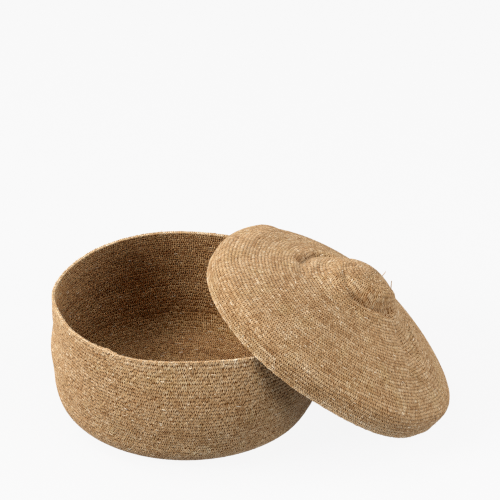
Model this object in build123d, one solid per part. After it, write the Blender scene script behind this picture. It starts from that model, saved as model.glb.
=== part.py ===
"""A round lidded basket stitched from seagrass cord, with its lid off and leaned against it.

Frame: millimetres, +Z up, origin at the centre of the basket's underside. The lid leans towards +X.
Both pieces are soft shells one cord thick. Each is drawn as one shell section and cut into the
stretches of cord that make it: centre, flat rounds, turning rounds, upright rounds and last round.
"""

from build123d import *
from math import cos, pi, radians, sin
import os

# Cord
cord_thickness = 3.8  # thickness of the stitched wall
straw_diameter = 0.9  # one loose seagrass straw

# Basket
basket_height = 127.5
heel_radius = 33.0  # outer radius of the turn from floor to wall
heel_top_radius = 149.0  # outside of the wall just above the heel
belly_radius = 151.5
belly_height = 58.0
waist_radius = 149.0
waist_height = 96.0
rim_radius = 144.0  # outside of the wall at its top edge
floor_centre_radius = 10.0  # first ring of cord
rim_round_height = 7.0  # the last round, worked over

# Lid, drawn level with the bottom of its skirt at height 0
lid_height = 94.0  # skirt's bottom edge to the top of the knob, outside
skirt_radius = 151.0
skirt_height = 24.0
shoulder_radius = 140.0  # outside of the turn from skirt to slope
shoulder_height = 32.5
slope_radius = 104.0  # a point half way up the slope
slope_height = 49.5
dip_radius = 72.0  # the shallow dip round the knob
dip_height = 61.0
neck_radius = 50.0
neck_height = 71.5
knob_radius = 34.0  # half width of the domed knob
knob_height = 83.5  # height of the knob's foot
knob_dome_radius = 20.0  # a point on the dome
knob_dome_height = 90.5
crown_radius = 9.0
edge_round_height = 6.0

# How the lid stands: its skirt on the floor at +X, its inside against the rim
lid_tilt = 34.5  # degrees from level
lid_centre = (148.0, -10.0, 84.6)  # centre of the skirt's bottom edge

# Loose ends
cord_end_angle = 232.0  # where the basket's cord is tucked in, in degrees about Z from +X
cord_end_length = 24.0
cord_end_diameter = 4.4
straw_length = 8.0
knob_straws = [(17.0, 19.0, 86.5, 35.0), (31.0, 17.0, 80.5, 15.0)]  # x, y, height on the lid, lean in degrees
rim_straw_angle = 196.0
rim_straw_drop = 9.0  # below the top edge

os.makedirs("parts", exist_ok=True)


def save(name, shape):
    """Write one sub-part as parts/NAME.step."""
    shape.label = name
    export_step(shape, f"parts/{name}.step")


def inset(points, thickness):
    """The same outline one wall thickness to its right-hand side."""
    inner = []
    for i, (r, z) in enumerate(points):
        r0, z0 = points[max(i - 1, 0)]
        r1, z1 = points[min(i + 1, len(points) - 1)]
        run = ((r1 - r0) ** 2 + (z1 - z0) ** 2) ** 0.5
        inner.append((r + (z1 - z0) / run * thickness, z - (r1 - r0) / run * thickness))
    return inner


def arc_points(centre, radius, start, end, steps):
    """Points along a circular arc, angles in degrees."""
    turn = [radians(start + (end - start) * i / steps) for i in range(steps + 1)]
    return [(centre[0] + radius * cos(a), centre[1] + radius * sin(a)) for a in turn]


def zone(r0, r1, z0, z1):
    """A rectangle in the section plane, for cutting one stretch out of a shell section."""
    centre = ((r0 + r1) / 2, 0, (z0 + z1) / 2)
    return Plane(origin=centre, x_dir=(1, 0, 0), z_dir=(0, -1, 0)) * Rectangle(r1 - r0, z1 - z0)


def ring(section, cutter):
    """The part of a shell section inside a cutter, turned about the Z axis."""
    return revolve(section & cutter, Axis.Z, 360)


def in_plane(points):
    """Section points (r, z) as points in the XZ plane."""
    return [Vector(r, 0, z) for r, z in points]


def basket_section():
    """Half section of the basket: floor, heel, wall and a rounded top edge."""
    t = cord_thickness
    flat = heel_top_radius - heel_radius
    outer_wall = [
        (heel_top_radius, heel_radius),
        (belly_radius, belly_height),
        (waist_radius, waist_height),
        (rim_radius, basket_height - t / 2),
    ]
    inner_wall = [(r - t, z) for r, z in outer_wall]
    heel_out = arc_points((flat, heel_radius), heel_radius, -90, 0, 2)
    heel_in = arc_points((flat, heel_radius), heel_radius - t, -90, 0, 2)
    top = (rim_radius - t / 2, basket_height)
    edges = [
        Line(*in_plane([(0, 0), heel_out[0]])),
        ThreePointArc(*in_plane(heel_out)),
        Spline(*in_plane(outer_wall), tangents=[(0, 0, 1), (-0.13, 0, 1)]),
        ThreePointArc(*in_plane([outer_wall[-1], top, inner_wall[-1]])),
        Spline(*in_plane(inner_wall), tangents=[(0, 0, 1), (-0.13, 0, 1)]),
        ThreePointArc(*in_plane(heel_in)),
        Line(*in_plane([heel_in[0], (0, t)])),
        Line(*in_plane([(0, t), (0, 0)])),
    ]
    return make_face(edges)


def lid_section():
    """Half section of the level lid: knob, dip, slope, shoulder and skirt."""
    t = cord_thickness
    outer = [
        (0, lid_height),
        (knob_dome_radius, knob_dome_height),
        (knob_radius, knob_height),
        (neck_radius, neck_height),
        (dip_radius, dip_height),
        (slope_radius, slope_height),
        (shoulder_radius, shoulder_height),
        (skirt_radius - 1.5, skirt_height),
        (skirt_radius, skirt_height / 2),
        (skirt_radius - 1.0, t / 2),
    ]
    inner = inset(outer, t)
    inner[0] = (0, lid_height - t)
    inner[-1] = (outer[-1][0] - t, t / 2)
    foot = (outer[-1][0] - t / 2, 0)
    edges = [
        Spline(*in_plane(outer), tangents=[(1, 0, 0), (-0.06, 0, -1)]),
        ThreePointArc(*in_plane([outer[-1], foot, inner[-1]])),
        Spline(*in_plane(inner), tangents=[(1, 0, 0), (-0.06, 0, -1)]),
        Line(*in_plane([inner[0], outer[0]])),
    ]
    return make_face(edges)


def lid_place():
    """The leaned lid's own frame: skirt's bottom edge in its XY plane, knob along its Z."""
    return Location(lid_centre) * Rot(0, lid_tilt, 0)


def straw(length, diameter):
    """One straw end, standing on the XY plane."""
    return Cylinder(diameter / 2, length, align=(Align.CENTER, Align.CENTER, Align.MIN))


def make_basket():
    """Write the basket's sub-parts."""
    shell = basket_section()
    flat = heel_top_radius - heel_radius
    wall_top = basket_height - rim_round_height
    reach = belly_radius + 10
    save("basket_floor_centre", ring(shell, zone(0, floor_centre_radius, 0, cord_thickness)))
    save("basket_floor_coil", ring(shell, zone(floor_centre_radius, flat, 0, cord_thickness)))
    save("basket_heel_coil", ring(shell, zone(flat, reach, 0, heel_radius)))
    save("basket_wall_coil", ring(shell, zone(flat, reach, heel_radius, wall_top)))
    save("basket_rim_round", ring(shell, zone(flat, reach, wall_top, basket_height)))


def make_basket_ends():
    """Write the tucked end of the basket's cord and the loose straw, both on the rim's inside."""
    inside = rim_radius - cord_thickness
    half = cord_end_length / rim_radius * 180 / pi / 2
    height = basket_height - cord_end_diameter
    section = Plane.XZ * Location((inside - 0.3 * cord_end_diameter, height)) * Circle(cord_end_diameter / 2)
    tucked = revolve(section, Axis.Z, 2 * half)
    save("basket_cord_end", Rot(0, 0, cord_end_angle - half) * tucked)
    root = Location((inside + 0.5, 0, basket_height - rim_straw_drop), (0, -60, 0))
    save("basket_straw_end", Rot(0, 0, rim_straw_angle) * root * straw(straw_length, straw_diameter))


def make_lid():
    """Write the lid's sub-parts where the lid leans."""
    shell = lid_section()
    place = lid_place()
    reach = skirt_radius + 10
    top = lid_height + 1
    stretches = {
        "lid_crown": zone(0, crown_radius, 0, top),
        "lid_knob_coil": zone(crown_radius, knob_radius, 0, top),
        "lid_neck_coil": zone(knob_radius, dip_radius, 0, top),
        "lid_slope_coil": zone(dip_radius, shoulder_radius, edge_round_height, top),
        "lid_edge_coil": zone(shoulder_radius, reach, edge_round_height, top),
        "lid_edge_round": zone(shoulder_radius, reach, -1, edge_round_height),
    }
    for name, cutter in stretches.items():
        save(name, place * ring(shell, cutter))
    straws = [
        Location((x, y, height), (0, lean, 0)) * straw(straw_length, straw_diameter)
        for x, y, height, lean in knob_straws
    ]
    save("lid_straw_ends", place * Compound(children=straws))


make_basket()
make_basket_ends()
make_lid()
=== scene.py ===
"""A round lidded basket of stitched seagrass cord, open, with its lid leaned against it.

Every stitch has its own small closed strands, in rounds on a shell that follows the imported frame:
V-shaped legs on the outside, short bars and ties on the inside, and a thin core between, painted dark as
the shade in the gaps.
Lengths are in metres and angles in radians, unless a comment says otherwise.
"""

import math

import bpy
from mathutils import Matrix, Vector
import numpy as np


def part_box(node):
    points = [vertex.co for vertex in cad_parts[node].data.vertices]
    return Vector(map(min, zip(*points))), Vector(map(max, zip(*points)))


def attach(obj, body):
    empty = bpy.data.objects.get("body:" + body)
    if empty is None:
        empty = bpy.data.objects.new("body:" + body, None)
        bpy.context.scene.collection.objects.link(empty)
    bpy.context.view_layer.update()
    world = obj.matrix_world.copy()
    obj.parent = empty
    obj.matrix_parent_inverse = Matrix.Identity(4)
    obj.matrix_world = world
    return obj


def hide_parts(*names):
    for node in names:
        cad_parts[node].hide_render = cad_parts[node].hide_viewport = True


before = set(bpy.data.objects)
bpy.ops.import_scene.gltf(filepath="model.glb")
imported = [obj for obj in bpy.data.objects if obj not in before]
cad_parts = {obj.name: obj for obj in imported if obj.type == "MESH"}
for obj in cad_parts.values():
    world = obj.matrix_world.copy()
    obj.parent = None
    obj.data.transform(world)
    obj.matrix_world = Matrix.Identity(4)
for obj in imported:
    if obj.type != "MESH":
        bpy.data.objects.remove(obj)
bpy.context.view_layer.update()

MM = 0.001
random = np.random.default_rng(7)

# Cord and stitches
wall = 3.8 * MM  # thickness of the stitched wall
round_pitch = 3.5 * MM
stitch_pitch = 2.25 * MM
core_half = 0.75 * MM  # half thickness of the dark core between the two faces
core_step = 1.6 * MM  # spacing of the core's rings of points
core_stop = 0.8 * MM  # how far the core ends below the edge
strands_per_stitch = 2  # on each face
strands_per_piece = 8000
row_wander = 0.65 * MM  # how far rounds stray from an even path
inside_round_tone = 0.05  # how far whole rounds differ in tone on the inside
edge_pale_and_painted_light = 0.09  # how much paler the last rounds are: partly painted light, lifting the lid's bottom edge in place of bounce light from the floor, and partly the pale band along the basket's rim
edge_painted_light_rounds = 1.6
patch_tone = 0.02  # change of tone over patches a few stitches wide
basket_looseness = 0.12  # how far single stitches sit out of line, as a share of the rounds' pitch
lid_looseness = 0.03
basket_streaks = [(0.04, 7)]  # slow changes of tone along the cord: size, and length in stitches
lid_streaks = [(0.045, 9), (0.025, 45)]
pale_share = 0.016  # pale lengths of straw that lie along a round, for each stitch

# Basket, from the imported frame
floor_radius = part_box("basket_floor_coil")[1].x
floor_centre_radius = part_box("basket_floor_centre")[1].x
heel_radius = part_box("basket_heel_coil")[1].z
heel_top_radius = floor_radius + heel_radius
belly_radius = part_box("basket_wall_coil")[1].x
basket_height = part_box("basket_rim_round")[1].z
rim_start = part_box("basket_rim_round")[0].z
rim_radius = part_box("basket_rim_round")[1].x - 1.3 * MM

# How the soft basket has settled: number of waves round it, size, degrees where it is highest or widest
rim_lifts = [(1, 4.6 * MM, -71), (2, 2.6 * MM, 69), (4, 3.4 * MM, 18)]
rim_ovals = [(2, 4.2 * MM, -47), (3, 3.3 * MM, 54), (4, 3.0 * MM, -40)]
belly_ovals = [(2, 7.0 * MM, -69), (1, 0.9 * MM, 0)]

cord_end_angle = 234  # degrees

# Local lifts of the basket's rim: size, then half width and place in degrees.
# The narrow ones are over the cord's end.
rim_bumps = [
    (1.4 * MM, 18, 136), (-3.3 * MM, 11, 208), (1.9 * MM, 1.9, cord_end_angle), (1.1 * MM, 1.4, 227),
]

# Local dents and swellings of its wall: size, half width and place in degrees,
# then height and half height as shares of the basket's height
wall_bumps = [
    (-3.8 * MM, 12, 335, 0.28, 0.22), (1.1 * MM, 22, 182, 1.00, 0.08), (-1.5 * MM, 22, 182, 0.70, 0.10),
    (1.4 * MM, 22, 182, 0.48, 0.09), (-1.1 * MM, 22, 182, 0.16, 0.08),
]

# Lid: (radius, height) of its outside over the skirt's bottom edge, in mm
lid_outline = [
    (0, 94.0), (10, 93.2), (20, 90.4), (34, 83.6), (42, 77.0), (50, 71.0), (60, 65.5), (72, 61.2),
    (104, 49.6), (128, 39.0), (140, 32.4), (147, 27.2), (150.4, 20), (151, 12), (150, 0),
]
lid_radius = 150 * MM
skirt_middle = 24 * MM
skirt_reach = 11 * MM  # half height of the skirt's own swelling
lid_tilt = math.radians(34.5)
lid_turn = math.radians(3.7)
lid_centre = np.array([146.2, -10.5, 83.1]) * MM
knob_sag = np.array([5.3, 5.0]) * MM  # how far the soft knob has slipped down the slope and to the back

# Lid's waves and local swellings, given as for the basket
lid_ovals = [(3, 5.4 * MM, -33)]
lid_lifts = [(2, 2.3 * MM, 0)]
lid_bumps = [(2.8 * MM, 16, 296), (-1.2 * MM, 9, 266), (-1.8 * MM, 7, 320)]
skirt_bumps = [(3.1 * MM, 18, 345)]

# Soft dents and swellings of the lid: height, width and line of (radius, degrees from downhill), in mm
lid_folds = [
    (-7.5, 4.8, [(71, 168), (69, 151), (65, 136), (58, 125), (48, 120)]),
    (-2.4, 5.0, [(73, 196), (72, 168)]),
    (2.0, 4.5, [(62, 186), (57, 166), (50, 152), (42, 146)]),
    (3.0, 5.0, [(43, 206), (39, 187), (34, 172)]),
    (-3.2, 3.6, [(33, 203), (36, 221), (39, 238)]),
    (-10.5, 4.8, [(38.5, 246), (38.5, 265), (38, 285), (38, 303), (40, 316)]),
    (3.0, 7.0, [(27, 255), (27, 300), (30, 345)]),
    (-2.6, 8.0, [(62, 15), (82, 15), (94, 8)]),
    (3.2, 4.4, [(66, 357), (70, 350), (80, 339), (90, 334), (102, 330), (112, 328)]),
    (-3.0, 6.0, [(60, 322), (84, 320), (104, 315)]),
    (4.4, 16.0, [(138, 130), (136, 174)]),
    (-1.6, 8.0, [(108, 126), (96, 122)]),
]

# Studio: an even white, brighter to the camera than the light it gives
floor_size = 30
floor_drop = 0.5 * MM
floor_tone = 0.03
floor_glow = 0.45
studio_white = 0.905
world_glow = 0.02

# Loose straws, in mm: root, then a bending point and the tip, both from the root, and the thickness
lid_straws = [
    ((210.5, 8.0, 145.0), (2.0, 1.5, 1.5), (6.0, 3.6, 6.2), 0.8),
    ((222.2, 6.2, 132.8), (0.2, 1.0, 4.0), (0.8, 4.5, 7.2), 1.0),
    ((266.8, -74.5, 13.5), (2.0, -0.4, -0.2), (3.6, -1.6, -1.8), 0.4),
]
rim_straws = [
    ((-134.5, -51.0, 127.6), (2.5, 0.5, 2.2), (7.5, 1.5, 1.6), 0.9),
    ((-29.5, 138.5, 123.0), (0.2, 0.5, 2.0), (1.2, 1.0, 4.4), 0.4),
]
straw_tone = 0.55

# Stations along one strand as shares of a stitch: round the shell, along the section, and out in mm
leg_stations = [
    (0.03, -0.74, 0.90), (0.13, -0.46, 1.20), (0.255, 0.0, 1.30), (0.34, 0.40, 1.10), (0.46, 0.66, 0.70),
]
leg_half_widths = [0.15, 0.27, 0.16]
bar_stations = [
    (-0.66, -0.02, -0.8), (-0.40, 0.12, -1.20), (0.0, 0.18, -1.32), (0.40, 0.12, -1.20),
    (0.66, -0.02, -0.8),
]
bar_half_widths = [0.26, 0.30, 0.26]
tie_stations = [(0.18, -0.70, -0.95), (0.08, -0.42, -1.22), (-0.04, -0.12, -1.22), (-0.14, 0.2, -0.9)]
tie_half_width = 0.42
depth_shares = [0.85, 1.0, 0.85]  # depth of a leg or bar at its inner stations
tip_painted_shade = 0.8  # tone of a strand's two tips, as a share of its own: painted shade where each strand dives under its neighbours

# Edge chain: round the shell as a share of a stitch, along the section and out in mm
chain_stations = [
    (-0.75, -0.9, 1.35), (-0.4, -0.15, 1.15), (0.0, 0.05, 0.75), (0.4, 0.0, 0.4), (0.75, -0.7, 0.2),
]
chain_half = 0.8 * MM
# how much paler the edge chain is: partly painted light on the lid's bottom edge, partly the pale band on
# the basket's rim
chain_pale_and_painted_light = 0.04

# Pale lengths of straw: height above the shell's middle in mm at even steps along them
pale_rise = [1.15, 1.5, 1.62, 1.62, 1.5, 1.15]
pale_half = 0.42 * MM

# Tucked end of the cord, all in mm: round the shell, along the section and out
cord_end_stations = [
    (-1.6, -1.5, -2.0), (-0.8, -1.0, -2.5), (0.0, 0.0, -2.8), (0.8, 1.0, -2.5), (1.6, 1.5, -2.0),
]
cord_end_stitches = 12
cord_end_spacing = 2.1 * MM
cord_end_drop = 1.2 * MM  # below the edge
cord_end_raise = 0.6 * MM
cord_end_half = 0.8 * MM

fibre_scale = (1400, 260, 1)  # of the noise over a strand's UV cell
# painted shade: the dark warm brown of the gaps between strands, where the cord's inside is only in shadow
core_painted_shade_colour = (0.24, 0.088, 0.014)
uv_margin = 0.08  # left free round each strand's cell


def waves(turn, table):
    """Sum of smooth waves round the shell."""
    return sum(size * np.cos(order * (turn - math.radians(where))) for order, size, where in table)


def bumps(turn, table):
    """Sum of smooth local swellings round the shell."""
    total = np.zeros(np.shape(turn))
    for size, width, where in table:
        away = (np.degrees(turn) - where + 180) % 360 - 180
        total += size * np.exp(-((away / width) ** 2))
    return total


def smooth_line(points, per_span=24):
    """A centripetal Catmull-Rom line through section points."""
    points = np.array(points, float)
    first = 2 * points[0] - points[1]
    last = 2 * points[-1] - points[-2]
    ring = np.vstack([first, points, last])
    line = []
    for a, b, c, d in zip(ring, ring[1:], ring[2:], ring[3:]):
        knots = np.cumsum([0] + [np.hypot(*(q - p)) ** 0.5 for p, q in ((a, b), (b, c), (c, d))])
        t = np.linspace(knots[1], knots[2], per_span, endpoint=False)[:, None]
        ab = ((knots[1] - t) * a + (t - knots[0]) * b) / (knots[1] - knots[0])
        bc = ((knots[2] - t) * b + (t - knots[1]) * c) / (knots[2] - knots[1])
        cd = ((knots[3] - t) * c + (t - knots[2]) * d) / (knots[3] - knots[2])
        abc = ((knots[2] - t) * ab + (t - knots[0]) * bc) / (knots[2] - knots[0])
        bcd = ((knots[3] - t) * bc + (t - knots[1]) * cd) / (knots[3] - knots[1])
        line.append(((knots[2] - t) * abc + (t - knots[1]) * bcd) / (knots[2] - knots[1]))
    line.append(points[-1:])
    return np.concatenate(line)


def fold_height(x, y):
    """Height of the lid's dents and swellings at places on its plan."""
    total = np.zeros(np.broadcast(x, y).shape)
    for height, width, line in lid_folds:
        turned = [(r * MM, math.radians(a)) for r, a in line]
        ends = [(r * math.cos(a), r * math.sin(a)) for r, a in turned]
        nearest = np.full(total.shape, np.inf)
        for (x0, y0), (x1, y1) in zip(ends, ends[1:]):
            span = (x1 - x0) ** 2 + (y1 - y0) ** 2
            share = np.clip(((x - x0) * (x1 - x0) + (y - y0) * (y1 - y0)) / span, 0, 1)
            away = (x - x0 - share * (x1 - x0)) ** 2 + (y - y0 - share * (y1 - y0)) ** 2
            nearest = np.minimum(nearest, away)
        total += height * MM * np.exp(-nearest / (width * MM) ** 2)
    return total


class Shell:
    """A round shell one cord thick. Points on it are (turn, along the section, out from the middle)."""

    def __init__(self, outline, outside, place):
        line = smooth_line(outline)
        tangent = np.gradient(line, axis=0)
        tangent /= np.linalg.norm(tangent, axis=1)[:, None]
        normal = outside * np.stack([tangent[:, 1], -tangent[:, 0]], 1)
        line = line - normal * wall / 2
        line[0, 0] = 0
        self.edge = float(np.hypot(*np.diff(line, axis=0).T).sum())
        past = 6 * MM
        line = np.vstack([line, line[-1] + tangent[-1] * past])
        normal = np.vstack([normal, normal[-1]])
        self.along = np.concatenate([[0], np.cumsum(np.hypot(*np.diff(line, axis=0).T))])
        self.line = line
        self.normal = normal
        self.place = place

    def radius(self, along):
        """Radius of the shell's middle."""
        return np.interp(along, self.along, self.line[:, 0])

    def height(self, along):
        """Height of the shell's middle."""
        return np.interp(along, self.along, self.line[:, 1])

    def at(self, turn, along, out):
        """Points in space."""
        r = self.radius(along) + out * np.interp(along, self.along, self.normal[:, 0])
        z = self.height(along) + out * np.interp(along, self.along, self.normal[:, 1])
        return self.place(turn, r, z)

    def where_radius(self, radius):
        """Length along the section where it first reaches a radius."""
        return float(self.along[np.argmax(self.line[:, 0] >= radius)])


def place_basket(turn, r, z):
    """The settled basket: rim and belly slightly out of round, wall dented, rim slightly wavy."""
    up = np.clip(z / basket_height, 0, 1.1)
    out = np.clip(r / heel_top_radius, 0, 1) ** 4
    r = r + waves(turn, rim_ovals) * up**2 + waves(turn, belly_ovals) * np.sin(np.pi * np.clip(up, 0, 1))
    for size, width, where, level, reach in wall_bumps:
        r = r + bumps(turn, [(size, width, where)]) * out * np.exp(-(((up - level) / reach) ** 2))
    z = z + waves(turn, rim_lifts) * up**2 + bumps(turn, rim_bumps) * up**6
    return np.stack([r * np.cos(turn), r * np.sin(turn), z], -1)


lid_normal = np.array([
    math.sin(lid_tilt) * math.cos(lid_turn), math.sin(lid_tilt) * math.sin(lid_turn), math.cos(lid_tilt)
])
lid_down = np.array([
    math.cos(lid_tilt) * math.cos(lid_turn), math.cos(lid_tilt) * math.sin(lid_turn), -math.sin(lid_tilt)
])
lid_across = np.cross(lid_normal, lid_down)


def place_lid(turn, r, z):
    """The leaned lid: out of round and dented, its knob slipped a little down the slope."""
    share = np.clip(r / lid_radius, 0, 1)
    r = r + bumps(turn, skirt_bumps) * share**4 * np.exp(-(((z - skirt_middle) / skirt_reach) ** 2))
    z = z + waves(turn, lid_lifts) * share**2 + fold_height(r * np.cos(turn), r * np.sin(turn))
    r = r + waves(turn, lid_ovals) * share + bumps(turn, lid_bumps) * share**4
    slip = 1 - share**1.5
    down = r * np.cos(turn) + slip * knob_sag[0]
    across = r * np.sin(turn) + slip * knob_sag[1]
    on_plan = down[..., None] * lid_down + across[..., None] * lid_across
    return lid_centre + on_plan + z[..., None] * lid_normal


def arc(centre, radius, start, end, steps):
    """Points on an arc, angles in degrees."""
    turn = np.radians(np.linspace(start, end, steps))
    return [(centre[0] + radius * math.cos(a), centre[1] + radius * math.sin(a)) for a in turn]


def basket_outline():
    """Outside of the basket's half section, from the middle of the floor to the rim."""
    heel = arc((floor_radius, heel_radius), heel_radius, -90, 0, 7)
    side = [
        (belly_radius, 0.46 * basket_height),
        (belly_radius - 2.5 * MM, 0.75 * basket_height),
        (rim_radius, basket_height - 0.9 * MM),
    ]
    return [(0, 0), (floor_radius / 2, 0), (0.9 * floor_radius, 0)] + heel + side


basket = Shell(basket_outline(), 1, place_basket)
lid = Shell([(r * MM, z * MM) for r, z in lid_outline], -1, place_lid)


def soft_noise(turn, along, scale, seed, terms=14):
    """Smooth noise over a shell, nearly all within -2 to 2, with features about as large as scale."""
    pick = np.random.default_rng(seed)
    total = np.zeros(np.broadcast(turn, along).shape)
    for _ in range(terms):
        order = round(pick.normal() * 0.15 / scale)
        rate = pick.normal() / scale
        total += np.cos(order * turn + rate * along + pick.uniform(0, 2 * np.pi))
    return total / math.sqrt(terms)


class Stitches:
    """All the stitches on one shell: where each one sits, how wide it is, its tone and its tint."""

    def __init__(self, shell, seed, looseness, streaks):
        pick = np.random.default_rng(seed)
        rounds = int(round(shell.edge / round_pitch))
        self.shell = shell
        self.pitch = shell.edge / rounds
        turn, along, width, tone, round_tone, start = [], [], [], [], [], 0.0
        for j in range(rounds):
            middle = (j + 0.5) * self.pitch
            girth = 2 * np.pi * shell.radius(middle)
            count = max(5, round(girth / stitch_pitch))
            share = 1 + 0.10 * np.clip(pick.normal(size=count), -2, 2)
            share /= share.sum()
            start += (0.5 + 0.15 * pick.normal()) / count
            turn.append(2 * np.pi * (np.cumsum(share) - share / 2 + start))
            width.append(girth * share)
            along.append(np.full(count, middle))
            round_tone.append(np.full(count, inside_round_tone * pick.normal()))
            tone.append(cord_tone(count, pick, streaks))
        self.turn = np.concatenate(turn)
        self.along = np.concatenate(along)
        self.width = np.concatenate(width)
        self.round_tone = np.concatenate(round_tone)
        self.tone = np.concatenate(tone)
        self.shift = row_wander * self.wander(seed)
        self.shift += looseness * self.pitch * pick.normal(size=len(self.turn))
        self.tone += patch_tone * soft_noise(self.turn, self.along, 8 * MM, seed + 2)
        # paler last rounds: painted light on the lid's bottom edge, a pale band on the basket's rim
        self.tone += edge_pale_and_painted_light * (self.along > shell.edge - edge_painted_light_rounds * self.pitch)
        self.tint = soft_noise(self.turn, self.along, 6 * MM, seed + 3)

    def wander(self, seed):
        """How far each round strays from its even path, none at the middle and the edge."""
        shell = self.shell
        wander = soft_noise(self.turn, self.along, 30 * MM, seed + 1)
        wander += 0.35 * soft_noise(self.turn, self.along, 9 * MM, seed + 4)
        return wander * np.clip(np.minimum(self.along, shell.edge - self.along) / (15 * MM), 0, 1)

    def between(self, low, high):
        """Indices of the stitches whose round lies between two lengths along the section."""
        return np.flatnonzero((self.along >= low) & (self.along < high))

    def places(self, chosen):
        """Where some stitches sit: round the shell, and along the section."""
        return self.turn[chosen], self.along[chosen]


def cord_tone(count, pick, streaks):
    """Tone of each stitch in a round: each one's own, and slow changes along the cord."""
    tone = 0.5 + 0.05 * pick.normal(size=count)
    for size, reach in streaks:
        if count > reach:
            kernel = np.hanning(reach)
            loose = pick.normal(size=count + reach - 1)
            tone += size * np.convolve(loose, kernel / np.linalg.norm(kernel), "valid")
    return tone


def level(u, v):
    """UV places all at one height."""
    return np.stack([u, np.full(len(u), v)], 1)


class Strands:
    """Small closed strands, gathered into one mesh. Each is a row of rings between two tips."""

    def __init__(self, shell):
        self.shell = shell
        self.points, self.quads, self.tris = [], [], []
        self.tone, self.tint = [], []
        self.quad_uv, self.tri_uv = [], []
        self.count = 0
        self.strands = 0

    def add(self, turn, along, path, half_width, half_depth, tone, tint, sides=4):
        """Add a strand at each place. Its path there: round the shell, along the section, outward."""
        n, stations, _ = path.shape
        heading = np.gradient(path[..., :2], axis=1)
        heading /= np.linalg.norm(heading, axis=2)[..., None]
        side = np.stack([-heading[..., 1], heading[..., 0]], -1)
        ring = 2 * np.pi * (np.arange(sides) + 0.5) / sides
        local = np.repeat(path[:, 1:-1, None], sides, 2)
        across = half_width[:, :, None] * np.cos(ring)
        local[..., :2] += across[..., None] * side[:, 1:-1, None]
        local[..., 2] += half_depth[:, :, None] * np.sin(ring)
        local = np.concatenate([path[:, :1], local.reshape(n, -1, 3), path[:, -1:]], 1)
        radius = np.maximum(self.shell.radius(along), 2 * MM)[:, None]
        turn = turn[:, None] + local[..., 0] / radius
        along = along[:, None] + local[..., 1]
        placed = self.shell.at(turn, along, local[..., 2])
        self.faces(n, stations - 2, sides)
        # painted shade: each strand's two tips are darker, where it dives into the gaps
        painted_tip_darkening = np.r_[tip_painted_shade, np.ones((stations - 2) * sides), tip_painted_shade]
        self.points.append(placed.reshape(-1, 3))
        self.tone.append((tone[:, None] * painted_tip_darkening).ravel())
        self.tint.append(np.repeat(tint, local.shape[1]))

    def faces(self, n, rings, sides):
        """Quads between rings and triangles at the tips, with each strand's own cell in the UV map."""
        each = rings * sides + 2
        near = np.arange(sides)
        far = (near + 1) % sides
        quads, quad_uv = [], []
        for i in range(rings - 1):
            low = 1 + i * sides
            high = low + sides
            quads.append(np.stack([low + near, low + far, high + far, high + near], 1))
            left, right = near / sides, (near + 1) / sides
            bottom, top = (i + 1) / (rings + 1), (i + 2) / (rings + 1)
            corners = [(left, bottom), (right, bottom), (right, top), (left, top)]
            quad_uv.append(np.stack([level(u, v) for u, v in corners], 1))
        last = 1 + (rings - 1) * sides
        tris = np.concatenate([
            np.stack([np.zeros(sides, int), 1 + far, 1 + near], 1),
            np.stack([np.full(sides, each - 1), last + near, last + far], 1),
        ])
        low_v, high_v = 1 / (rings + 1), rings / (rings + 1)
        left, mid, right = near / sides, (near + 0.5) / sides, (near + 1) / sides
        tri_uv = np.concatenate([
            np.stack([level(mid, 0), level(right, low_v), level(left, low_v)], 1),
            np.stack([level(mid, 1), level(left, high_v), level(right, high_v)], 1),
        ])
        offset = self.count + each * np.arange(n)[:, None, None]
        cell = self.strands + np.arange(n)
        self.quads.append((np.concatenate(quads)[None] + offset).reshape(-1, 4))
        self.tris.append((tris[None] + offset).reshape(-1, 3))
        self.quad_uv.append(self.in_cells(np.concatenate(quad_uv), cell))
        self.tri_uv.append(self.in_cells(tri_uv, cell))
        self.count += each * n
        self.strands += n

    @staticmethod
    def in_cells(uv, cell):
        """One strand's UVs repeated for each strand, with the cell's number in a third column."""
        spread = np.repeat(uv[None], len(cell), 0)
        number = np.broadcast_to(cell[:, None, None, None], spread.shape[:3] + (1,))
        return np.concatenate([spread, number], -1).reshape(-1, 3)

    def mesh(self, name):
        """The gathered strands as one Blender mesh."""
        points = np.concatenate(self.points)
        quads = np.concatenate(self.quads)
        tris = np.concatenate(self.tris)
        corners = np.concatenate([quads.ravel(), tris.ravel()])
        starts = np.concatenate([4 * np.arange(len(quads)), 4 * len(quads) + 3 * np.arange(len(tris))])
        mesh = bpy.data.meshes.new(name)
        mesh.vertices.add(len(points))
        mesh.vertices.foreach_set("co", points.astype(np.float32).ravel())
        mesh.loops.add(len(corners))
        mesh.loops.foreach_set("vertex_index", corners.astype(np.int32))
        mesh.polygons.add(len(starts))
        mesh.polygons.foreach_set("loop_start", starts.astype(np.int32))
        mesh.polygons.foreach_set("use_smooth", np.ones(len(starts), bool))
        mesh.update(calc_edges=True)
        point_values(mesh, "tone", np.concatenate(self.tone))
        point_values(mesh, "tint", np.concatenate(self.tint))
        uv = np.concatenate(self.quad_uv + self.tri_uv)
        across = math.ceil(math.sqrt(self.strands))
        column, line = uv[:, 2] % across, uv[:, 2] // across
        inside = uv_margin + uv[:, :2] * (1 - 2 * uv_margin)
        flat = np.stack([(column + inside[:, 0]) / across, (line + inside[:, 1]) / across], 1)
        layer = mesh.uv_layers.new(name="OFBake")
        layer.uv.foreach_set("vector", flat.astype(np.float32).ravel())
        return mesh


def point_values(mesh, name, values):
    """Give a mesh one number for each point."""
    mesh.attributes.new(name, "FLOAT", "POINT").data.foreach_set("value", values.astype(np.float32))


def jitter(n, size):
    """Random numbers about zero, one for each strand."""
    return size * random.normal(size=n)


def strand_path(n, width, height, stations, shear):
    """Paths from (round, along, out) stations given as shares of the stitch's width and height."""
    shares = np.array(stations, float)
    path = np.empty((n, len(shares), 3))
    path[..., 0] = shares[:, 0] * width[:, None] + shear[:, None] * shares[:, 1] * height
    path[..., 1] = shares[:, 1] * height
    path[..., 2] = shares[:, 2] * MM
    return path


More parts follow.
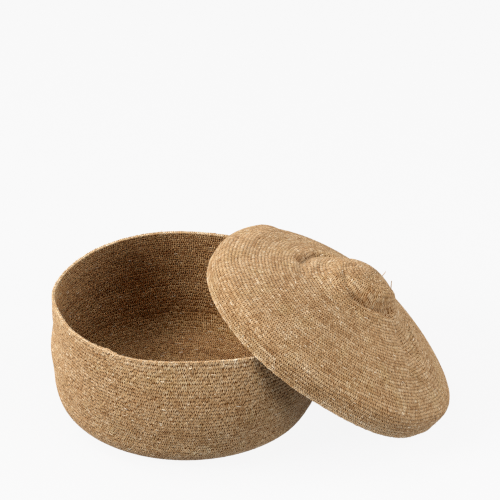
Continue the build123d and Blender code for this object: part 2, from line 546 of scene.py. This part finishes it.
def add_legs(strands, stitches, chosen):
    """The two legs of each V on the outside."""
    n = len(chosen)
    width = stitches.width[chosen]
    slant = 0.14 + jitter(n, 0.10)
    for way in (-1, 1):
        size = 1 + jitter(n, 0.07)
        path = strand_path(n, way * width, stitches.pitch, leg_stations, slant)
        path[..., 1] += stitches.shift[chosen][:, None]
        path[:, :, 2] += jitter(n, 0.05 * MM)[:, None]
        half = (width * size)[:, None] * np.array(leg_half_widths)
        depth = (0.55 * MM * size)[:, None] * np.array(depth_shares)
        tone = stitches.tone[chosen] + jitter(n, 0.07)
        strands.add(*stitches.places(chosen), path, half, depth, tone, stitches.tint[chosen])


def add_bars(strands, stitches, chosen):
    """The short bar and the tie below it of each stitch on the inside."""
    n = len(chosen)
    width = stitches.width[chosen]
    size = 1 + jitter(n, 0.16)
    flat = np.zeros(n)
    path = strand_path(n, width, stitches.pitch, bar_stations, flat)
    tilt = jitter(n, 0.16) + 0.06
    path[..., 1] += tilt[:, None] * path[..., 0] + stitches.shift[chosen][:, None]
    half = (stitches.pitch * size)[:, None] * np.array(bar_half_widths)
    depth = (0.5 * MM * size)[:, None] * np.array(depth_shares)
    tone = stitches.tone[chosen] + stitches.round_tone[chosen] + jitter(n, 0.06)
    strands.add(*stitches.places(chosen), path, half, depth, tone, stitches.tint[chosen])
    path = strand_path(n, width, stitches.pitch, tie_stations, jitter(n, 0.1))
    path[..., 1] += stitches.shift[chosen][:, None]
    half = (tie_half_width * width * (1 + jitter(n, 0.22)))[:, None] * np.ones(2)
    depth = np.full((n, 2), 0.42 * MM)
    strands.add(*stitches.places(chosen), path, half, depth, tone - 0.05, stitches.tint[chosen])


def add_edge_chain(strands, stitches, shell):
    """The flat chain of stitches along an edge: two strands that slant to each other, one each side."""
    stations = np.array(chain_stations)
    chosen = stitches.between(shell.edge - stitches.pitch, shell.edge)
    n = len(chosen)
    width = stitches.width[chosen]
    for way in (-1, 1):
        path = np.empty((n, len(stations), 3))
        path[..., 0] = stations[:, 0] * width[:, None]
        path[..., 1] = stitches.pitch * 0.5 + stations[:, 1] * MM
        path[..., 2] = way * stations[:, 2] * MM
        path[..., 1] += jitter(n, 0.12 * MM)[:, None]
        half = np.full((n, 3), chain_half) * (1 + jitter(n, 0.12))[:, None]
        # paler edge chain: partly painted light on the lid's bottom edge
        tone = stitches.tone[chosen] + chain_pale_and_painted_light + jitter(n, 0.10)
        strands.add(*stitches.places(chosen), path, half, half, tone, stitches.tint[chosen])


def add_pale_lengths(strands, stitches, side):
    """Short pale lengths of straw that lie along the rounds, on the outside (1) or the inside (-1)."""
    chosen = np.flatnonzero(random.random(len(stitches.turn)) < pale_share)
    n = len(chosen)
    length = random.uniform(2.2, 7.0, n) * MM
    path = np.empty((n, len(pale_rise), 3))
    path[..., 0] = np.linspace(-0.5, 0.5, len(pale_rise)) * length[:, None]
    path[..., 1] = jitter(n, 0.9 * MM)[:, None] + jitter(n, 0.16)[:, None] * path[..., 0]
    path[..., 2] = side * np.array(pale_rise) * MM
    half = np.full((n, 4), pale_half) * random.uniform(0.7, 1.2, n)[:, None]
    tone = random.uniform(0.66, 0.98, n)
    strands.add(*stitches.places(chosen), path, half, 0.7 * half, tone, np.zeros(n))


def new_piece(name, mesh, body, material, nodes=()):
    """Link a mesh as a piece that rides on a body."""
    piece = bpy.data.objects.new(name, mesh)
    bpy.context.scene.collection.objects.link(piece)
    mesh.materials.append(material)
    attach(piece, body)
    if nodes:
        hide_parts(*nodes)


def node(tree, kind, inputs=None, **settings):
    """A shader node with its settings and unlinked inputs."""
    made = tree.nodes.new(kind)
    for key, value in settings.items():
        setattr(made, key, value)
    for key, value in (inputs or {}).items():
        made.inputs[key].default_value = value
    return made


def ramp(tree, fac, stops):
    """A colour ramp from (place, colour) stops."""
    made = tree.nodes.new("ShaderNodeValToRGB")
    band = made.color_ramp
    while len(band.elements) < len(stops):
        band.elements.new(0.5)
    for element, (place, colour) in zip(band.elements, stops):
        element.position = place
        element.color = (*colour, 1)
    tree.links.new(fac, made.inputs["Fac"])
    return made.outputs["Color"]


def seagrass(name, stops, warm, cool):
    """Dry seagrass: each strand's own tone, with fibres along it, and a faint sheen."""
    material = bpy.data.materials.new(name)
    material.use_nodes = True
    tree = material.node_tree
    tree.nodes.clear()
    link = tree.links.new
    tone = node(tree, "ShaderNodeAttribute", attribute_name="tone")
    tint = node(tree, "ShaderNodeAttribute", attribute_name="tint")
    strand = node(tree, "ShaderNodeUVMap", uv_map="OFBake")
    stretch = node(tree, "ShaderNodeMapping")
    stretch.inputs["Scale"].default_value = fibre_scale
    link(strand.outputs["UV"], stretch.inputs["Vector"])
    fibres = node(tree, "ShaderNodeTexNoise", {"Scale": 1.0, "Detail": 2.0, "Roughness": 0.6})
    link(stretch.outputs["Vector"], fibres.inputs["Vector"])
    spread = node(tree, "ShaderNodeMath", {1: 0.5}, operation="SUBTRACT")
    link(fibres.outputs["Fac"], spread.inputs[0])
    mixed = node(tree, "ShaderNodeMath", {1: 0.35}, operation="MULTIPLY_ADD")
    link(spread.outputs["Value"], mixed.inputs[0])
    link(tone.outputs["Fac"], mixed.inputs[2])
    colour = ramp(tree, mixed.outputs["Value"], stops)
    tinted = node(tree, "ShaderNodeMix", data_type="RGBA", blend_type="MULTIPLY")
    hue_stops = [(0.0, cool), (0.45, (1, 1, 1)), (0.6, (1, 1, 1)), (1.0, warm)]
    hues = ramp(tree, tint_share(tree, tint), hue_stops)
    tinted.inputs["Factor"].default_value = 1
    link(colour, tinted.inputs["A"])
    link(hues, tinted.inputs["B"])
    bump = node(tree, "ShaderNodeBump", {"Strength": 0.5, "Distance": 0.0002})
    link(fibres.outputs["Fac"], bump.inputs["Height"])
    rough = node(tree, "ShaderNodeMapRange", {"To Min": 0.5, "To Max": 0.78})
    link(fibres.outputs["Fac"], rough.inputs["Value"])
    shader = node(tree, "ShaderNodeBsdfPrincipled", {"Specular IOR Level": 0.25, "Sheen Weight": 0.12})
    link(tinted.outputs["Result"], shader.inputs["Base Color"])
    link(rough.outputs["Result"], shader.inputs["Roughness"])
    link(bump.outputs["Normal"], shader.inputs["Normal"])
    out = node(tree, "ShaderNodeOutputMaterial")
    link(shader.outputs["BSDF"], out.inputs["Surface"])
    return material


def tint_share(tree, tint):
    """The tint attribute, from about -2..2, as 0..1."""
    share = node(tree, "ShaderNodeMapRange", {"From Min": -2.0, "From Max": 2.0})
    tree.links.new(tint.outputs["Fac"], share.inputs["Value"])
    return share.outputs["Result"]


def core_material(name, colour):
    """The inside of the cord, seen only through the gaps between strands, in painted shade: a dark
    speckled warm brown for the shadow in those gaps.
    """
    material = bpy.data.materials.new(name)
    material.use_nodes = True
    tree = material.node_tree
    shader = tree.nodes["Principled BSDF"]
    speckle = node(tree, "ShaderNodeTexNoise", {"Scale": 900.0, "Detail": 3.0})
    core_shade = tuple(0.6 * c for c in colour)
    speckled = ramp(tree, speckle.outputs["Fac"], [(0.3, core_shade), (0.7, colour)])
    tree.links.new(speckled, shader.inputs["Base Color"])
    shader.inputs["Roughness"].default_value = 0.9
    shader.inputs["Specular IOR Level"].default_value = 0.0
    return material


def core_mesh(name, shell, turns=300):
    """A thin closed shell between the two faces of stitches."""
    steps = int(shell.edge / core_step)
    along = np.linspace(0, shell.edge - core_stop, steps)
    section = np.concatenate([along, along[::-1][:-1]])
    out = np.concatenate([np.full(steps, core_half), np.full(steps - 1, -core_half)])
    section = np.concatenate([section, [0]])
    out = np.concatenate([out, [-core_half]])
    ring = 2 * np.pi * np.arange(turns) / turns
    first = shell.at(np.zeros(1), np.zeros(1), np.array([core_half]))
    last = shell.at(np.zeros(1), np.zeros(1), np.array([-core_half]))
    middle = shell.at(ring[None], section[1:-1, None], out[1:-1, None])
    rows = len(middle)
    points = np.concatenate([first, middle.reshape(-1, 3), last])
    near = np.arange(turns)
    far = (near + 1) % turns
    faces = [(0, 1 + a, 1 + b) for a, b in zip(near, far)]
    for i in range(rows - 1):
        low = 1 + i * turns
        high = low + turns
        faces += [(low + a, high + a, high + b, low + b) for a, b in zip(near, far)]
    low = 1 + (rows - 1) * turns
    faces += [(low + b, low + a, len(points) - 1) for a, b in zip(near, far)]
    mesh = bpy.data.meshes.new(name)
    mesh.from_pydata(points.tolist(), [], [tuple(int(v) for v in f) for f in faces])
    mesh.polygons.foreach_set("use_smooth", np.ones(len(mesh.polygons), bool))
    mesh.update()
    return mesh


def make_face(stitches, body, material, zones, face, adder):
    """The pieces of one face of a shell, split by CAD node and then by size."""
    shell = stitches.shell
    for cad_node, low, high in zones:
        chosen = stitches.between(low, high)
        parts = max(1, math.ceil(len(chosen) * strands_per_stitch / strands_per_piece))
        for k, group in enumerate(np.array_split(chosen, parts)):
            strands = Strands(shell)
            adder(strands, stitches, group)
            tail = f"_{k + 1}" if parts > 1 else ""
            name = f"{cad_node}_{face}{tail}"
            new_piece(name, strands.mesh(name), body, material, [cad_node])


def make_body(body, stitches, zones, slot, outside, inside, core_shade):
    """Both faces, the edge chain, the pale lengths and the core of the basket or the lid."""
    shell = stitches.shell
    make_face(stitches, body, outside, zones, "outside", add_legs)
    make_face(stitches, body, inside, zones, "inside", add_bars)
    strands = Strands(shell)
    add_edge_chain(strands, stitches, shell)
    new_piece(f"{body}_edge_chain", strands.mesh(f"{body}_edge_chain"), body, outside)
    strands = Strands(shell)
    add_pale_lengths(strands, stitches, 1)
    add_pale_lengths(strands, stitches, -1)
    new_piece(f"{body}_pale_lengths", strands.mesh(f"{body}_pale_lengths"), body, outside)
    new_piece(f"{body}_core", core_mesh(f"{body}_core", shell), body, core_shade)


def zones_of(shell, names, limits):
    """(CAD node, start, end) along the section."""
    edges = [0, *limits, shell.edge + 1]
    return list(zip(names, edges, edges[1:]))


def basket_zones():
    """The stretch of the basket's section that each CAD node covers."""
    heel_start = basket.where_radius(floor_radius)
    heel_end = float(np.interp(heel_radius, basket.line[:, 1], basket.along))
    rim = float(np.interp(rim_start, basket.line[:, 1], basket.along))
    names = [
        "basket_floor_centre", "basket_floor_coil", "basket_heel_coil", "basket_wall_coil",
        "basket_rim_round",
    ]
    return zones_of(basket, names, [floor_centre_radius, heel_start, heel_end, rim])


def lid_zones():
    """The stretch of the lid's section that each CAD node covers."""
    names = [
        "lid_crown", "lid_knob_coil", "lid_neck_coil", "lid_slope_coil", "lid_edge_coil", "lid_edge_round",
    ]
    limits = [lid.where_radius(r * MM) for r in (9, 34, 72, 140)] + [lid.edge - 6 * MM]
    return zones_of(lid, names, limits)


def make_straws(material):
    """The loose straw ends on the knob and inside the rim, and a fine hair at each edge."""
    sets = (("lid_straw_ends", "lid", lid_straws), ("basket_straw_end", "basket", rim_straws))
    for name, body, table in sets:
        lines = [(bent(root, bend, tip), thickness / 2 * MM) for root, bend, tip, thickness in table]
        mesh = straw_mesh(f"{name}_bent", lines)
        new_piece(mesh.name, mesh, body, material, [name])


def bent(root, bend, tip, steps=9):
    """Points on a bent straw. Its bending point and tip are given from its root, all in mm."""
    root, bend, tip = (np.array(p, float) * MM for p in (root, bend, tip))
    t = np.linspace(0, 1, steps)[:, None]
    return root + 2 * t * (1 - t) * bend + t**2 * tip


def straw_mesh(name, lines, sides=6):
    """Closed thin tubes along lines, slightly tapered."""
    points, faces = [], []
    for line, radius in lines:
        base = len(points)
        ahead = np.gradient(line, axis=0)
        for i, (place, way) in enumerate(zip(line, ahead)):
            way = way / np.linalg.norm(way)
            first = np.cross(way, (0.3, 1, 0.2))
            first /= np.linalg.norm(first)
            second = np.cross(way, first)
            thin = radius * (1 - 0.35 * i / (len(line) - 1))
            for k in range(sides):
                a = 2 * np.pi * k / sides
                points.append(place + thin * (math.cos(a) * first + 0.7 * math.sin(a) * second))
        for i in range(len(line) - 1):
            for k in range(sides):
                low = base + i * sides
                other = (k + 1) % sides
                faces.append((low + k, low + other, low + sides + other, low + sides + k))
        faces.append(tuple(base + k for k in reversed(range(sides))))
        faces.append(tuple(base + (len(line) - 1) * sides + k for k in range(sides)))
    mesh = bpy.data.meshes.new(name)
    mesh.from_pydata([tuple(p) for p in points], [], faces)
    mesh.polygons.foreach_set("use_smooth", np.ones(len(mesh.polygons), bool))
    for attribute, value in (("tone", straw_tone), ("tint", 0.0)):
        point_values(mesh, attribute, np.full(len(points), value))
    mesh.update()
    return mesh


def make_cord_end(material):
    """The end of the basket's cord, tucked against the inside of the rim at the front left."""
    strands = Strands(basket)
    stations = np.array(cord_end_stations)
    middle = math.radians(cord_end_angle)
    n = cord_end_stitches
    turn = middle + (np.arange(n) - (n - 1) / 2) * cord_end_spacing / rim_radius
    along = np.full(n, basket.edge - cord_end_drop)
    for way in (-1, 1):
        path = np.empty((n, len(stations), 3))
        path[..., 0] = stations[:, 0] * MM
        path[..., 1] = way * stations[:, 1] * MM + cord_end_raise
        path[..., 2] = stations[:, 2] * MM
        half = np.full((n, 3), cord_end_half)
        strands.add(turn, along, path, half, half, straw_tone + jitter(n, 0.1), np.zeros(n))
    name = "basket_cord_end_tucked"
    new_piece(name, strands.mesh(name), "basket", material, ["basket_cord_end"])


def make_floor():
    """A floor wide enough for every view: an even white to the camera, a dimmer glow to the object."""
    bpy.ops.mesh.primitive_plane_add(size=floor_size, location=(0, 0, -floor_drop))
    floor = bpy.context.object
    floor.name = "studio_floor"
    material = bpy.data.materials.new("studio_floor")
    material.use_nodes = True
    material.cycles.emission_sampling = "NONE"
    tree = material.node_tree
    shader = tree.nodes["Principled BSDF"]
    shader.inputs["Base Color"].default_value = (floor_tone, floor_tone, floor_tone, 1)
    shader.inputs["Emission Color"].default_value = (1, 1, 1, 1)
    shader.inputs["Roughness"].default_value = 0.9
    shader.inputs["Specular IOR Level"].default_value = 0.0
    tree.links.new(seen_or_lighting(tree, studio_white, floor_glow), shader.inputs["Emission Strength"])
    floor.data.materials.append(material)


def aim(thing, target):
    """Turn a light or camera so that it looks at a point."""
    way = thing.location - target
    thing.rotation_euler = way.to_track_quat("Z", "Y").to_euler()


def soft_light(name, azimuth, elevation, power, size=1.2, distance=2.6, target=(0.07, 0, 0.08)):
    """A square area light. Azimuth 0 is at the front and 90 at the right, in degrees."""
    a, e = math.radians(azimuth), math.radians(elevation)
    data = bpy.data.lights.new(name, "AREA")
    data.size = size
    data.energy = power
    lamp = bpy.data.objects.new(name, data)
    lamp.visible_camera = False
    bpy.context.scene.collection.objects.link(lamp)
    way = Vector((math.sin(a) * math.cos(e), -math.cos(a) * math.cos(e), math.sin(e)))
    lamp.location = Vector(target) + distance * way
    aim(lamp, Vector(target))


def make_lights():
    """Soft light from the left and above it, weaker light from the right, overhead and the front."""
    soft_light("key", azimuth=-67, elevation=30, power=81)
    soft_light("top_left", azimuth=-100, elevation=60, power=27)
    soft_light("right", azimuth=56, elevation=26, power=33)
    soft_light("far_right", azimuth=100, elevation=40, power=26)
    soft_light("top", azimuth=0, elevation=88, power=9)
    soft_light("front", azimuth=-15, elevation=8, power=4)
    world = bpy.data.worlds.new("studio")
    world.use_nodes = True
    tree = world.node_tree
    background = tree.nodes["Background"]
    background.inputs["Color"].default_value = (1, 1, 1, 1)
    tree.links.new(seen_or_lighting(tree, studio_white, world_glow), background.inputs["Strength"])
    bpy.context.scene.world = world


def seen_or_lighting(tree, seen, lighting):
    """One brightness for what the camera sees and another for the light it gives."""
    path = node(tree, "ShaderNodeLightPath")
    pick = node(tree, "ShaderNodeMapRange", {"To Min": lighting, "To Max": seen})
    tree.links.new(path.outputs["Is Camera Ray"], pick.inputs["Value"])
    return pick.outputs["Result"]


def make_camera():
    """A long lens at the front, looking down on the basket."""
    elevation = math.radians(31.1)
    distance = 3.352
    target = Vector((0.0700, 0, 0.1853))
    data = bpy.data.cameras.new("camera")
    data.lens = 225.6
    data.sensor_width = 36
    data.clip_end = 50
    camera = bpy.data.objects.new("camera", data)
    bpy.context.scene.collection.objects.link(camera)
    camera.location = target + distance * Vector((0, -math.cos(elevation), math.sin(elevation)))
    aim(camera, target)
    bpy.context.scene.camera = camera


make_camera()
make_lights()
make_floor()

tan_stops = [
    (0.0, (0.16, 0.056, 0.010)), (0.3, (0.36, 0.187, 0.068)), (0.5, (0.515, 0.315, 0.146)),
    (0.7, (0.64, 0.455, 0.265)), (0.95, (0.82, 0.70, 0.53)),
]
warm_hue = (1.0, 0.965, 0.93)
cool_hue = (0.98, 1.0, 0.94)
# painted shade: the inside faces of basket and lid take a darker, warmer copy of the tan ramp, standing in
# for the shade and warm bounce light inside
inside_painted_shade_stops = [(place, (0.92 * r, 0.83 * g, 0.66 * b)) for place, (r, g, b) in tan_stops]
basket_grass = seagrass("seagrass_basket", tan_stops, warm_hue, cool_hue)
lid_grass = seagrass("seagrass_lid", tan_stops, warm_hue, cool_hue)
inside_painted_shade_grass = seagrass("seagrass_inside_painted_shade", inside_painted_shade_stops, warm_hue, cool_hue)
# painted shade for the core of each body
basket_core_shade = core_material("seagrass_core_shade_basket", core_painted_shade_colour)
lid_core_shade = core_material("seagrass_core_shade_lid", core_painted_shade_colour)

basket_stitches = Stitches(basket, 11, basket_looseness, basket_streaks)
lid_stitches = Stitches(lid, 31, lid_looseness, lid_streaks)
basket_looks = ("basket_cord", basket_grass, inside_painted_shade_grass, basket_core_shade)
lid_looks = ("lid_cord", lid_grass, inside_painted_shade_grass, lid_core_shade)
make_body("basket", basket_stitches, basket_zones(), *basket_looks)
make_body("lid", lid_stitches, lid_zones(), *lid_looks)
make_cord_end(basket_grass)
make_straws(basket_grass)

bpy.context.scene.view_settings.view_transform = "Standard"
bpy.context.scene.cycles.use_denoising = False
bpy.context.scene.cycles.filter_width = 1.3
